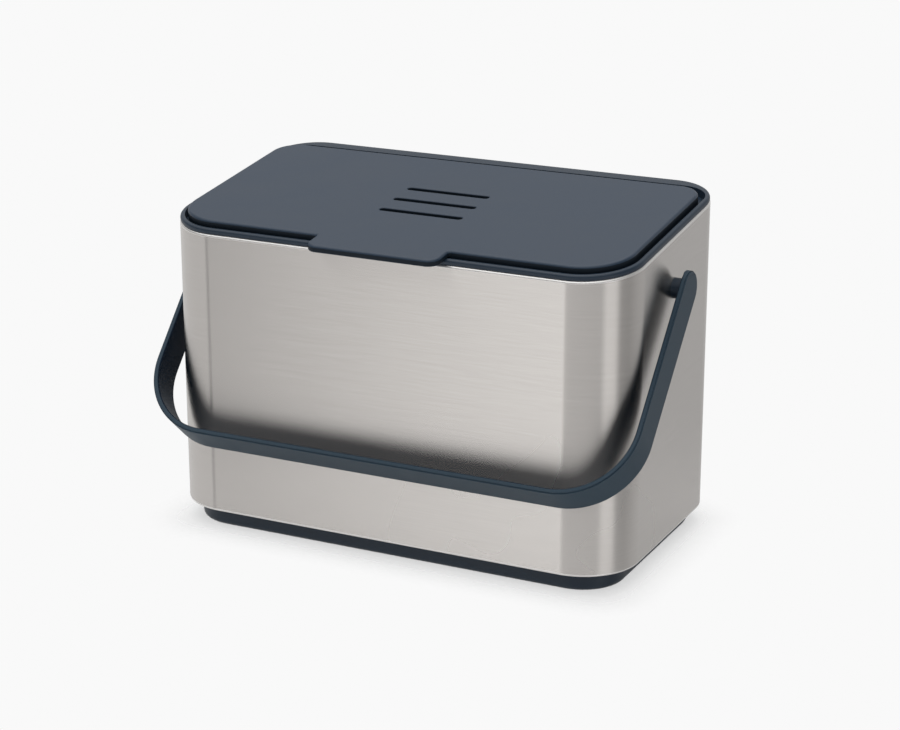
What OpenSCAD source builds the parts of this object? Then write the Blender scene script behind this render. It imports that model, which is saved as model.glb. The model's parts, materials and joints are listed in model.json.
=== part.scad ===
// Compost caddy for the kitchen worktop: a brushed steel shell with a moulded base and collar,
// a lift-out bucket, a vented hinged lid with an odour filter, and a strap handle that swings.
// The origin is the centre of the base's underside, +X is to the right, +Y to the back, +Z up.

/* [Steel shell] */
// Width of the shell
body_w = 270; // [220:1:320]
// Depth of the shell
body_d = 147.6; // [130:0.2:190]
// Height of the shell's top edge at the front, above the base's underside
front_h = 169.6; // [150:0.2:220]
// Slope of the top, rising to the back
slope_deg = 7; // [4:0.5:9]
// Corner radius at the front, seen from above
front_r = 32; // [28:1:40]
// Corner radius at the back, seen from above
rear_r = 27; // [25:1:34]
// Thickness of the steel sheet
steel_t = 0.8; // [0.6:0.1:1.2]
// Width of the edge that is rolled inwards, top and bottom
roll_w = 1.6; // [1.4:0.1:2]

/* [Base tray] */
// Height of the plinth that shows under the shell
plinth_h = 11; // [8:0.1:16]
// Inset of the plinth from the shell's face
plinth_inset = 7.5; // [5:0.5:12]
// Radius along the plinth's lower edge
plinth_round = 3; // [2:0.5:4]
// Wall thickness of the base tray
tray_wall = 2.4; // [2:0.1:3.5]
// Height of the tray's rim inside the shell
tray_rim_h = 12; // [8:1:20]
// Radius of a rubber foot
foot_r = 8; // [6:0.5:10]
// Thickness of a foot, which is let in flush
foot_t = 1.6; // [1:0.1:2]
// Distance of a foot's centre from the plinth's sides
foot_margin = 24; // [20:1:40]

/* [Collar] */
// Inset of the collar's outer wall from the shell's face
rim_inset = 0.3; // [0.2:0.1:0.6]
// Height of the collar's ledge above the steel edge
ledge_h = 3; // [2.4:0.1:3.6]
// Radius along the ledge's outer edge
ledge_round = 1.5; // [0.8:0.1:1.8]
// Width of the ledge from the shell's face, at the front and sides
ledge_w = 3; // [2.8:0.1:5]
// Width of the ledge behind the lid, from the shell's face
rear_ledge_w = 8.5; // [7:0.1:10]
// Corner radius of the well at the back
well_rear_r = 17; // [14:0.5:19]
// Depth of the well floor below the steel edge
well_floor = 1.5; // [1.2:0.1:2.5]
// Thickness of the collar's floor
collar_t = 2; // [1.6:0.1:3]
// Depth of the collar's skirt inside the shell
skirt_h = 8; // [6:0.5:9]
// Width of the lug that carries a handle pivot
lug_w = 30; // [24:1:44]
// Thickness of that lug
lug_t = 3.6; // [3:0.1:5]

/* [Bucket] */
// Width of the bucket's lip
bucket_lip_w = 5.2; // [4.8:0.1:7]
// Thickness of the bucket's lip
bucket_lip_t = 1.8; // [1.4:0.1:2.2]
// Wall thickness of the bucket
bucket_wall = 1.8; // [1.4:0.1:2.6]
// Inset of the bucket's foot from its top on each side
bucket_taper = 6; // [3:0.5:10]
// Height of the bucket's underside above the base tray's floor
bucket_clear = 11; // [6:0.5:16]

/* [Lid] */
// Gap round the lid's edge, in front and at the sides
rim_gap = 1.8; // [1:0.1:2.4]
// Clearance of the lid's knuckles in the collar, and of the bucket's lip in the lid
lid_gap = 0.4; // [0.3:0.1:0.8]
// Height of the lid's top above the steel edge
lid_h = 6.2; // [5.6:0.1:7.4]
// Thickness of the lid's panel
lid_t = 2.4; // [2:0.1:3]
// Width of the lid's edge wall
lid_edge = 2; // [1.8:0.1:2.6]
// Radius along the lid's top edge
lid_round = 1.7; // [1.2:0.1:1.8]
// Corner radius of the lid at the back
lid_rear_r = 14; // [8:0.5:18]
// Width of the finger tab
tab_w = 76.5; // [50:0.5:110]
// How far the tab stands out over the shell's face
tab_out = 10.7; // [5:0.1:14]
// Corner radius of the tab
tab_r = 6.5; // [4:0.5:9]
// Width of a vent slot
vent_w = 4; // [3:0.1:4]
// Length of a vent slot
vent_l = 49; // [30:1:70]
// Spacing of the vent slots
vent_pitch = 16.7; // [10:0.1:20]
// Number of vent slots
vent_count = 3; // [1:1:3]
// Distance from the shell's front face to the middle slot, along the lid
vent_mid = 66; // [60:0.5:70]

/* [Odour filter] */
// Width of the filter pad
filter_w = 104; // [80:1:140]
// Depth of the filter pad
filter_d = 56; // [50:1:66]
// Thickness of the filter pad
filter_t = 5; // [3:0.5:6]
// Thickness of the filter's cover
cover_t = 1.6; // [1.2:0.1:2.4]
// Wall thickness of the filter's housing under the lid
housing_wall = 1.8; // [1.4:0.1:2.6]
// Width of the slots in the filter's cover
cover_slot = 4; // [3:0.5:6]
// Number of slots from front to back in the cover
cover_slots = 5; // [2:1:6]
// Margin at the ends of the cover's slots
cover_margin = 5; // [3:0.5:8]

/* [Lid seal] */
// Width of the seal
seal_w = 1.6; // [1.2:0.1:2]
// Distance of the seal from the lid's edge
seal_inset = 4.2; // [4:0.1:4.8]
// Thickness of the ribs that hold the seal
seal_rib = 0.8; // [0.6:0.1:1]

/* [Hinge] */
// Height of the hinge axis over the steel edge
hinge_z = -0.8; // [-1.2:0.1:0]
// Radius of the hinge knuckles
knuckle_r = 2.8; // [2.6:0.1:3.2]
// Radius of a hinge pin
hinge_pin_r = 1.5; // [1:0.1:1.6]
// How much further the lid's back edge is from the axis than the ledge is high over it
hinge_clear = 1.4; // [1.2:0.1:2.4]
// Length of a lid knuckle
knuckle_l = 32; // [20:1:40]
// Thickness of an ear on the collar
ear_t = 5; // [4:0.5:8]
// Distance from the shell's side to the middle of a lid knuckle
hinge_margin = 53.5; // [52:0.5:70]

/* [Handle] */
// Height of the handle's pivot above the base's underside
pivot_h = 151; // [136:0.2:156]
// Distance from the shell's side to the outside of the handle
handle_out = 9.1; // [8.4:0.1:16]
// Length from the pivot to the outside of the bar
handle_l = 127; // [122:0.1:150]
// Gap between the resting bar and the shell's face
rest_gap = 1.2; // [0.4:0.1:4]
// Width of the handle's strap
strap_w = 20; // [14:0.5:24]
// Thickness of the handle's strap, without the raised grip face
strap_t = 2.4; // [2.2:0.1:5]
// Thickness of the raised grip face along the outside of the strap
grip_t = 0.7; // [0.5:0.1:1.5]
// Margin between the strap's edge and the raised grip face
grip_margin = 0.6; // [0.4:0.1:1.5]
// Outer corner radius of the handle
handle_r = 41; // [34:1:55]

/* [Handle pivots] */
// Radius of a pivot pin
pivot_pin_r = 3; // [2.5:0.1:3.5]
// Running clearance of a pivot pin, on the radius
pivot_clear = 0.05; // [0.03:0.01:0.1]
// Radius of the bush's sleeve through the shell
bush_r = 4.2; // [3.8:0.1:5]
// Radius of the bush's flange outside the shell
flange_r = 5.5; // [5.4:0.1:8]
// Gap between the bush's flange and the handle's arm
arm_gap = 0.3; // [0.2:0.1:0.6]
// Thickness of the washer and of the retaining clip
clip_t = 0.8; // [0.6:0.1:1.2]
// Outer radius of the washer
washer_r = 6; // [5:0.1:8]
// Outer radius of the retaining clip
clip_r = 5.1; // [4.5:0.1:7]

/* [Hidden] */
$fn = 72;
// A little extra so that a cut passes right through
over = 1;
// Clearance of a fixed piece in its hole
fit_gap = 0.05;
// Clearance between pieces that are laid or pushed in
lay_gap = 0.3;
// A length that is longer than the whole object
reach = 600;

half_w = body_w / 2;
half_d = body_d / 2;
// Depth of the top, measured along its slope
slope_d = body_d / cos(slope_deg);
// Inner face of the shell
inner_x = half_w - steel_t;

// The seat plane is where collar, bucket and lid are set out: x across, y back along the slope
// from the shell's front face, z up from the steel edge.
lid_x = ledge_w + rim_gap;
// The lid's back edge is far enough from the hinge axis to clear the ledge when it is open
hinge_back = ledge_h - hinge_z + hinge_clear;
lid_rear = rear_ledge_w + lid_gap + knuckle_r + hinge_back;
lid_depth = slope_d - lid_rear - lid_x;
lid_w = body_w - 2 * lid_x;
lid_front_r = front_r - lid_x;
hinge_y = slope_d - lid_rear + hinge_back;
// The collar below the steel edge clears the back wall, which the slope brings closer further down
seat_in = max(steel_t + fit_gap + skirt_h * sin(slope_deg), roll_w + fit_gap);
knuckle_x = half_w - hinge_margin;
hinge_pin_l = knuckle_l + 2 * (lid_gap + ear_t);
lid_bottom = -(well_floor - lay_gap);

// The bucket's lip lies inside the lid's edge wall
lip_x = lid_x + lid_edge + 2 * lid_gap;
lip_rear = lid_rear + lid_edge + 2 * lid_gap;
lip_front_r = front_r - lip_x;
lip_rear_r = max(lid_rear_r - lid_edge, 3);
hole_x = lip_x + bucket_lip_w - lid_gap * 2;
hole_rear = lip_rear + bucket_lip_w - lid_gap * 2;
lip_top = bucket_lip_t - well_floor;

// The base
foot_x = half_w - plinth_inset - foot_margin;
foot_y = half_d - plinth_inset - foot_margin;
tray_floor = foot_t + tray_wall;
bucket_z = tray_floor + bucket_clear;

// The lugs that carry the pivots
lug_in = inner_x - fit_gap - lug_t;

// The handle, which rests with the back edge of its bar close to the shell's face
handle_x = half_w + handle_out;
strap_all = strap_t + grip_t;
arm_in = handle_x - strap_all;
bar_turn = atan2(strap_w / 2, handle_l - strap_all);
bar_reach = norm([strap_w / 2, handle_l - strap_all]);
rest_deg = bar_turn + asin((half_d + rest_gap) / bar_reach);

// The pivots, from the arm inwards: bush, washer and retaining clip
washer_x = lug_in - clip_t;
clip_x = washer_x - fit_gap - clip_t;
pin_in = clip_x - clip_t;
pin_out = arm_in + strap_t * 3 / 4;
groove_r = pivot_pin_r - 0.5;

// A rounded outline w wide and d deep, with its front edge at y = 0
module plan(w, d, rf, rr) {
    translate([-w / 2, rf]) square([w, d - rf - rr]);
    translate([-w / 2 + rf, 0]) square([w - 2 * rf, rf]);
    translate([-w / 2 + rr, d - rr]) square([w - 2 * rr, rr]);
    for (side = [-1, 1]) {
        translate([side * (w / 2 - rf), rf]) circle(r = rf);
        translate([side * (w / 2 - rr), d - rr]) circle(r = rr);
    }
}

// The shell's outline from above, moved in by an inset
module body_plan(inset) {
    translate([0, inset - half_d])
        plan(body_w - 2 * inset, body_d - 2 * inset, front_r - inset, rear_r - inset);
}

// The same outline on the sloping top
module top_plan(inset) {
    translate([0, inset])
        plan(body_w - 2 * inset, slope_d - 2 * inset, front_r - inset, rear_r - inset);
}

// Sweeps a profile round the outline: the profile's x runs inwards from the edge, its y upwards
module ring(w, d, rf, rr) {
    for (side = [0, 1]) mirror([side, 0, 0]) {
        translate([w / 2, d - rr, 0]) rotate([90, 0, 0]) linear_extrude(d - rf - rr)
            mirror([1, 0]) children();
        translate([w / 2 - rf, rf, 0]) rotate([0, 0, -90]) rotate_extrude(angle = 90)
            translate([rf, 0]) mirror([1, 0]) children();
        translate([w / 2 - rr, d - rr, 0]) rotate_extrude(angle = 90)
            translate([rr, 0]) mirror([1, 0]) children();
    }
    translate([-(w / 2 - rf), 0, 0]) rotate([90, 0, 90]) linear_extrude(w - 2 * rf) children();
    translate([-(w / 2 - rr), d, 0]) rotate([90, 0, 90]) linear_extrude(w - 2 * rr)
        mirror([1, 0]) children();
}

// Moves children from the seat plane to their place on top of the shell
module on_slope() {
    translate([0, -half_d, front_h]) rotate([slope_deg, 0, 0]) children();
}

// All that lies lower than a height above the steel edge
module below_slope(height) {
    on_slope() translate([-reach / 2, -reach / 2, height - reach]) cube([reach, reach, reach]);
}

// A round bar or bore along X, from one x to another, round the handle's pivot
module pivot_round(r, from_x, to_x) {
    translate([from_x, 0, pivot_h]) rotate([0, 90, 0]) cylinder(r = r, h = to_x - from_x);
}

// A round bar or bore along X, round the hinge axis, in the seat plane
module hinge_round(r, from_x, to_x) {
    translate([from_x, hinge_y, hinge_z]) rotate([0, 90, 0]) cylinder(r = r, h = to_x - from_x);
}

// Places a piece on the right, or mirrored on the left
module at_side(side) {
    mirror([side < 0 ? 1 : 0, 0, 0]) children();
}

// A square-edged profile with a quarter round at its outer top corner
module edge_profile(width, height, round_r) {
    translate([round_r, 0]) square([width - round_r, height]);
    square([round_r, height - round_r]);
    intersection() {
        translate([round_r, height - round_r]) circle(r = round_r);
        translate([0, height - round_r]) square([round_r, round_r]);
    }
}

module steel_shell() {
    color("silver") difference() {
        union() {
            difference() {
                intersection() {
                    translate([0, 0, plinth_h]) linear_extrude(reach / 2) body_plan(0);
                    below_slope(0);
                }
                linear_extrude(reach) body_plan(steel_t);
            }
            on_slope() translate([0, 0, -steel_t]) linear_extrude(steel_t) difference() {
                top_plan(steel_t / 2);
                top_plan(roll_w);
            }
            translate([0, 0, plinth_h]) linear_extrude(steel_t) difference() {
                body_plan(steel_t / 2);
                body_plan(roll_w);
            }
        }
        for (side = [-1, 1]) at_side(side)
            pivot_round(bush_r + fit_gap, inner_x - over, half_w + over);
    }
}

module plinth_profile(height) {
    translate([0, tray_floor]) mirror([0, 1]) edge_profile(plinth_round + over, tray_floor, plinth_round);
    translate([0, plinth_round]) square([tray_wall, height - plinth_round]);
}

module base_tray() {
    inset = steel_t + fit_gap;
    rim_z = plinth_h + steel_t;
    color("darkslategray") difference() {
        union() {
            // the plinth, with its lower edge rounded
            translate([0, plinth_inset - half_d, 0])
                ring(body_w - 2 * plinth_inset, body_d - 2 * plinth_inset,
                    front_r - plinth_inset, rear_r - plinth_inset) plinth_profile(rim_z + tray_wall);
            linear_extrude(tray_floor) body_plan(plinth_inset + plinth_round);
            // the rim that stands inside the shell
            translate([0, 0, rim_z]) linear_extrude(tray_wall) difference() {
                body_plan(inset);
                body_plan(plinth_inset + tray_wall);
            }
            translate([0, 0, rim_z]) linear_extrude(tray_rim_h) difference() {
                body_plan(inset);
                body_plan(inset + tray_wall);
            }
            // ribs across the floor
            for (x = [-2:2]) translate([x * body_w / 6 - tray_wall / 2, -foot_y, tray_floor])
                cube([tray_wall, 2 * foot_y, bucket_clear / 2]);
        }
        for (x = [-1, 1], y = [-1, 1]) translate([x * foot_x, y * foot_y, -over])
            cylinder(r = foot_r + fit_gap, h = foot_t + over);
    }
}

module foot(x, y) {
    color("dimgray") translate([x * foot_x, y * foot_y, 0]) cylinder(r = foot_r, h = foot_t);
}

module collar_ears() {
    for (side = [-1, 1]) at_side(side) for (end = [-1, 1]) {
        x = knuckle_x + end * (knuckle_l / 2 + lid_gap + ear_t / 2) - ear_t / 2;
        hinge_round(knuckle_r, x, x + ear_t);
        translate([x, hinge_y - knuckle_r, -well_floor - collar_t])
            cube([ear_t, 2 * knuckle_r, well_floor + collar_t + hinge_z]);
    }
}

// A lug inside the shell's side, hanging from the collar's floor and skirt
module pivot_lug() {
    thick = inner_x - fit_gap - lug_in;
    intersection() {
        union() {
            pivot_round(lug_w / 2, lug_in, lug_in + thick);
            translate([lug_in, -lug_w / 2, pivot_h]) cube([thick, lug_w, lug_w / 2]);
            translate([lug_in, -lug_w / 2, pivot_h])
                cube([half_w - roll_w - fit_gap - lug_in, lug_w, front_h]);
        }
        below_slope(-well_floor - collar_t / 2);
    }
}

module rim_collar() {
    pocket_l = knuckle_l + 2 * lid_gap;
    pocket_front = hinge_y - hinge_back - lid_edge - lay_gap;
    pocket_back = slope_d - rear_ledge_w;
    pocket_z = hinge_z - knuckle_r - 2 * lid_gap;
    color("darkslategray") difference() {
        union() {
            on_slope() difference() {
                union() {
                    translate([0, rim_inset, 0])
                        ring(body_w - 2 * rim_inset, slope_d - 2 * rim_inset,
                            front_r - rim_inset, rear_r - rim_inset)
                        edge_profile(ledge_w - rim_inset, ledge_h, ledge_round);
                    linear_extrude(ledge_h) top_plan(rim_inset + ledge_round);
                    translate([0, 0, -well_floor - collar_t])
                        linear_extrude(well_floor + collar_t) top_plan(seat_in);
                    translate([0, 0, -skirt_h]) linear_extrude(skirt_h) difference() {
                        top_plan(seat_in);
                        top_plan(seat_in + collar_t);
                    }
                    // boxes under the floor that take the lid's knuckles
                    for (side = [-1, 1]) at_side(side)
                        translate([knuckle_x - pocket_l / 2 - collar_t, pocket_front - collar_t,
                            pocket_z - collar_t])
                            cube([pocket_l + 2 * collar_t, pocket_back - pocket_front + 2 * collar_t,
                                -pocket_z]);
                }
                // the well for the lid, with its wider ledge at the back
                translate([0, ledge_w, -well_floor])
                    linear_extrude(reach) plan(body_w - 2 * ledge_w,
                        slope_d - ledge_w - rear_ledge_w, front_r - ledge_w, well_rear_r);
                // the hole for the bucket
                translate([0, hole_x, -reach / 2])
                    linear_extrude(reach) plan(body_w - 2 * hole_x, slope_d - hole_x - hole_rear,
                        front_r - hole_x, lip_rear_r);
                for (side = [-1, 1]) at_side(side)
                    translate([knuckle_x - pocket_l / 2, pocket_front, pocket_z])
                        cube([pocket_l, pocket_back - pocket_front, reach]);
            }
            on_slope() collar_ears();
            for (side = [-1, 1]) at_side(side) pivot_lug();
        }
        on_slope() for (side = [-1, 1]) at_side(side)
            hinge_round(hinge_pin_r + fit_gap, knuckle_x - hinge_pin_l / 2 - over,
                knuckle_x + hinge_pin_l / 2 + over);
        for (side = [-1, 1]) at_side(side)
            pivot_round(bush_r + fit_gap, lug_in - over, half_w);
    }
}

// One level of the bucket's form, moved in by an inset
module bucket_level(inset, z) {
    // the hole's front wall leans back with the slope
    lean = (well_floor + collar_t) * sin(slope_deg);
    front = (hole_x + lay_gap) * cos(slope_deg) + lean;
    back = (hole_rear + lay_gap) * cos(slope_deg);
    w = body_w - 2 * (hole_x + lay_gap);
    r = max(front_r - hole_x - inset, bucket_taper);
    translate([0, front + inset - half_d, z]) linear_extrude(over)
        plan(w - 2 * inset, body_d - front - back - 2 * inset, r, r, $fn = 32);
}

module bucket_form(inset, z) {
    hull() {
        bucket_level(inset, front_h + body_d * tan(slope_deg));
        bucket_level(inset + bucket_taper, z + bucket_taper);
        bucket_level(inset + 2 * bucket_taper, z);
    }
}

module inner_bucket() {
    color("dimgray") difference() {
        union() {
            intersection() {
                bucket_form(0, bucket_z);
                below_slope(-well_floor + bucket_lip_t / 2);
            }
            on_slope() translate([0, lip_x, -well_floor]) linear_extrude(bucket_lip_t)
                plan(body_w - 2 * lip_x, slope_d - lip_x - lip_rear, lip_front_r, lip_rear_r);
        }
        bucket_form(bucket_wall, bucket_z + bucket_wall);
    }
}

module slot(l, w, h) {
    linear_extrude(h) {
        square([l - w, w], center = true);
        for (end = [-1, 1]) translate([end * (l - w) / 2, 0]) circle(d = w);
    }
}

// The finger tab: a flat tongue over the ledge, with a lip that turns down in front
module finger_tab() {
    lip = tab_out - 2 * lay_gap;
    depth = tab_out + lid_x + lid_edge;
    translate([0, -tab_out, ledge_h + lay_gap]) linear_extrude(lid_h - ledge_h - lay_gap)
        plan(tab_w, depth, tab_r, 0.5);
    intersection() {
        translate([0, -tab_out, ledge_h - lay_gap * 2]) linear_extrude(lid_h - ledge_h)
            plan(tab_w, depth, tab_r, 0.5);
        translate([-tab_w, -tab_out, 0]) cube([2 * tab_w, lip, lid_h]);
    }
}

// The lid's outline, moved in by an inset
module lid_plan(inset) {
    translate([0, lid_x + inset]) plan(lid_w - 2 * inset, lid_depth - 2 * inset,
        lid_front_r - inset, max(lid_rear_r - inset, over));
}

// A band of one width that follows the lid's outline
module lid_band(inset, width) {
    difference() {
        lid_plan(inset);
        lid_plan(inset + width);
    }
}

module lid() {
    housing_z = lid_h - lid_t - filter_t - 2 * lay_gap - cover_t;
    housing_w = filter_w + 2 * lay_gap + 2 * housing_wall;
    housing_d = filter_d + 2 * lay_gap + 2 * housing_wall;
    rib_bottom = lip_top + over;
    rib_top = lid_h - lid_t + over / 2;
    color("slategray") on_slope() difference() {
        union() {
            translate([0, lid_x, lid_bottom]) ring(lid_w, lid_depth, lid_front_r, lid_rear_r)
                edge_profile(lid_edge, lid_h - lid_bottom, lid_round);
            translate([0, 0, lid_h - lid_t]) linear_extrude(lid_t) lid_plan(lid_round);
            finger_tab();
            // the housing of the odour filter
            translate([-housing_w / 2, vent_mid - housing_d / 2, housing_z])
                cube([housing_w, housing_d, lid_h - over - housing_z]);
            // two ribs that hold the seal
            for (inset = [seal_inset - seal_rib, seal_inset + seal_w])
                translate([0, 0, rib_bottom]) linear_extrude(rib_top - rib_bottom)
                    lid_band(inset, seal_rib);
            for (side = [-1, 1]) at_side(side) {
                hinge_round(knuckle_r, knuckle_x - knuckle_l / 2, knuckle_x + knuckle_l / 2);
                translate([knuckle_x - knuckle_l / 2, hinge_y - hinge_back - lid_edge / 2, lid_bottom])
                    cube([knuckle_l, hinge_back + lid_edge / 2, hinge_z + knuckle_r / 2 - lid_bottom]);
            }
        }
        translate([-filter_w / 2 - lay_gap, vent_mid - filter_d / 2 - lay_gap, housing_z - over])
            cube([filter_w + 2 * lay_gap, filter_d + 2 * lay_gap, lid_h - lid_t - housing_z + over]);
        for (i = [0:vent_count - 1])
            translate([0, vent_mid + (i - (vent_count - 1) / 2) * vent_pitch, 0])
                slot(vent_l, vent_w, lid_h + over);
        for (side = [-1, 1]) at_side(side)
            hinge_round(hinge_pin_r + 2 * fit_gap, knuckle_x - knuckle_l, knuckle_x + knuckle_l);
    }
}

module lid_seal() {
    bottom = lip_top + lay_gap;
    color("gray") on_slope() translate([0, 0, bottom]) linear_extrude(lid_h - lid_t - bottom)
        lid_band(seal_inset + fit_gap, seal_w - 2 * fit_gap);
}

module filter_pad() {
    color("black") on_slope()
        translate([-filter_w / 2, vent_mid - filter_d / 2, lid_h - lid_t - lay_gap - filter_t])
        cube([filter_w, filter_d, filter_t]);
}

module filter_cover() {
    pitch = filter_d / (cover_slots + 1);
    z = lid_h - lid_t - 2 * lay_gap - filter_t - cover_t;
    color("slategray") on_slope() translate([0, vent_mid, z]) difference() {
        translate([-filter_w / 2, -filter_d / 2, 0]) cube([filter_w, filter_d, cover_t]);
        for (i = [0:cover_slots - 1], side = [-1, 1])
            translate([side * filter_w / 4, (i - (cover_slots - 1) / 2) * pitch, -over])
                slot(filter_w / 2 - 2 * cover_margin, cover_slot, cover_t + 2 * over);
    }
}

module hinge_pin(side) {
    color("lightgray") on_slope() at_side(side)
        hinge_round(hinge_pin_r, knuckle_x - hinge_pin_l / 2, knuckle_x + hinge_pin_l / 2);
}

// The handle's outline, seen square on: a U of straight arms and a bar, moved in by an inset
module handle_plan(inset) {
    x = handle_x - inset;
    l = handle_l - inset;
    r = handle_r - inset;
    translate([-x, -l + r]) square([2 * x, l - r]);
    translate([-x + r, -l]) square([2 * (x - r), r]);
    for (side = [-1, 1]) translate([side * (x - r), -l + r]) circle(r = r);
}

// A U-shaped strap between two insets of the outline
module strap(outside, inside, width) {
    rotate([90, 0, 0]) linear_extrude(width, center = true) difference() {
        handle_plan(outside);
        translate([0, over]) handle_plan(inside);
        translate([-handle_x, 0]) square([2 * handle_x, 2 * over]);
    }
    for (side = [-1, 1]) at_side(side) translate([handle_x - inside, 0, 0])
        rotate([0, 90, 0]) cylinder(d = width, h = inside - outside);
}

module handle() {
    color("darkslategray") translate([0, 0, pivot_h]) rotate([-rest_deg, 0, 0]) difference() {
        union() {
            strap(grip_t, strap_all, strap_w);
            strap(0, grip_t, strap_w - 2 * grip_margin);
        }
        for (side = [-1, 1]) at_side(side) translate([arm_in - over, 0, 0])
            rotate([0, 90, 0]) cylinder(r = pivot_pin_r + fit_gap, h = pin_out + fit_gap - arm_in + over);
    }
}

module pivot_pin(side) {
    color("lightgray") at_side(side) {
        pivot_round(pivot_pin_r, pin_in, clip_x - fit_gap);
        pivot_round(groove_r, pin_in, pin_out);
        pivot_round(pivot_pin_r, washer_x, pin_out);
    }
}

module pivot_bush(side) {
    color("darkslategray") at_side(side) difference() {
        union() {
            pivot_round(bush_r, lug_in, half_w + fit_gap);
            pivot_round(flange_r, half_w, arm_in - arm_gap);
        }
        pivot_round(pivot_pin_r + pivot_clear, lug_in - over, arm_in);
    }
}

module pivot_washer(side) {
    color("silver") at_side(side) difference() {
        pivot_round(washer_r, washer_x, lug_in);
        pivot_round(pivot_pin_r + 2 * fit_gap, washer_x - over, lug_in + over);
    }
}

// An open spring clip in the pin's groove
module pivot_clip(side) {
    color("silver") at_side(side) difference() {
        pivot_round(clip_r, clip_x, clip_x + clip_t);
        pivot_round(groove_r + fit_gap, clip_x - over, clip_x + clip_t + over);
        // the clip's mouth, a little narrower than the groove
        translate([clip_x - over, fit_gap * 4 - groove_r, pivot_h - clip_r - over])
            cube([clip_t + 2 * over, 2 * groove_r - fit_gap * 8, clip_r + over]);
    }
}

steel_shell();
base_tray();
foot(-1, -1);  // foot_front_left
foot(1, -1);  // foot_front_right
foot(-1, 1);  // foot_rear_left
foot(1, 1);  // foot_rear_right
rim_collar();
inner_bucket();
lid();
lid_seal();
filter_pad();
filter_cover();
hinge_pin(-1);  // hinge_pin_left
hinge_pin(1);  // hinge_pin_right
handle();
pivot_pin(-1);  // pivot_pin_left
pivot_pin(1);  // pivot_pin_right
pivot_bush(-1);  // pivot_bush_left
pivot_bush(1);  // pivot_bush_right
pivot_washer(-1);  // pivot_washer_left
pivot_washer(1);  // pivot_washer_right
pivot_clip(-1);  // pivot_clip_left
pivot_clip(1);  // pivot_clip_right
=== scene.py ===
# %% [markdown]
# # A compost caddy in brushed steel and slate plastic
# The caddy is a steel shell with a sloping top. A plastic collar lies on its edge, a lid with three
# vents lies in the collar, and a flat strap handle hangs in front. The CAD parts give every place
# and size, and this script models the parts that show with soft edges and gives each its finish.

# %% Load the frame
import json
from math import atan2, cos, pi, radians, sin, tan

import bmesh
import bpy
from mathutils import Matrix, Vector


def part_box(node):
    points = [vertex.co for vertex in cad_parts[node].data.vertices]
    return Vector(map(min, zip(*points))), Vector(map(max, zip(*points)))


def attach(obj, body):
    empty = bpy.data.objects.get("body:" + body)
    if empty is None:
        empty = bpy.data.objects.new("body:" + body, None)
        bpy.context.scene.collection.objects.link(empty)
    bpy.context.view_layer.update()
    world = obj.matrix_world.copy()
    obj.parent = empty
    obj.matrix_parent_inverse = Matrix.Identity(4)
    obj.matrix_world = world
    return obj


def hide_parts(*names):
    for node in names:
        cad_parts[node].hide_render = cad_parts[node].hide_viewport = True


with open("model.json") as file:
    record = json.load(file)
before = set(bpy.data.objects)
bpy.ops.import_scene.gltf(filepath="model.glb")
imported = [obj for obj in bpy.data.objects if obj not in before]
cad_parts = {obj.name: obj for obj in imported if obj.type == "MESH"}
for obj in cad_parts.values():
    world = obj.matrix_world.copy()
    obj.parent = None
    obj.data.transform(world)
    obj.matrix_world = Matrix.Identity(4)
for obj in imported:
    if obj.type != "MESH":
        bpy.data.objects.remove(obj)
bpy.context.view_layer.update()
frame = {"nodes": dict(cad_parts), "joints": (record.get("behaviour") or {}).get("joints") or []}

nodes = frame["nodes"]
mm = 0.001
print("CAD nodes:", len(nodes))

# %% [markdown]
# ## The camera
# A caddy on a worktop is looked at from a little above and from its right, with a long lens, so that
# upright edges stay nearly upright. The camera is placed by two angles and a distance from a point in
# the middle of the caddy. It comes first, because everything after it is judged through it.

# %% The camera
view_yaw = radians(26.11)
view_pitch = radians(17.85)
view_distance = 1273.95 * mm
view_lens = 92.17
aim = Vector((4.82, 0, 90.27)) * mm

level = cos(view_pitch)
towards_camera = Vector((sin(view_yaw) * level, -cos(view_yaw) * level, sin(view_pitch)))
bpy.ops.object.camera_add(location=aim + towards_camera * view_distance)
camera = bpy.context.object
camera.name = "studio_camera"
camera.rotation_euler = towards_camera.to_track_quat("Z", "Y").to_euler()
camera.data.lens = view_lens
camera.data.sensor_width = 36
camera.data.clip_end = 50
bpy.context.scene.camera = camera
print("camera at", [round(c, 3) for c in camera.location])

# %% [markdown]
# ## Sizes from the frame
# The shell's box gives its width, depth and heights, its top slopes down to the front by 7 degrees,
# and the joints give the places of the lid's hinge and the handle's pivots. Collar, lid and the
# bucket's lip are set out on the sloping top, so they are modelled flat, with y = 0 at the shell's
# front, and laid on the slope at the end.

# %% Sizes
shell_low, shell_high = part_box("steel_shell")
half_w, half_d = shell_high.x, shell_high.y
slope = radians(7)
top_front = shell_high.z - 2 * half_d * tan(slope)
slope_depth = 2 * half_d / cos(slope)
front_round, rear_round = 32 * mm, 27 * mm
sheet = 0.8 * mm
plinth_top = shell_low.z
on_slope = Matrix.Translation((0, -half_d, top_front)) @ Matrix.Rotation(slope, 4, "X")
slope_up = on_slope.to_3x3() @ Vector((0, 0, 1))

hinge = next(joint for joint in frame["joints"] if joint["name"] == "lid_hinge")
hinge_point = on_slope.inverted() @ Vector(hinge["pos_m"])
pivot = Vector(next(joint for joint in frame["joints"] if joint["name"] == "handle_pivot")["pos_m"])
bush_bore_r = 4.25 * mm
print("shell", round(half_w * 2, 4), round(half_d * 2, 4), "front height", round(top_front, 4))
print("hinge on the slope", [round(c, 4) for c in hinge_point])

# %% [markdown]
# ## Hand tools
# Each piece is made as it would be by hand: add a primitive, pick edges or faces, bevel, inset or
# extrude them, and apply a few modifiers. These helpers pick by place, because a script has no mouse.
# Two places count as the same when a thousandth of a millimetre or less parts them.

# %% Picking and editing
flat_enough, nearly_flat, wall_tilt = 0.999, 0.9, 0.1
tiny = 1e-6
slack = 1e-5


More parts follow.
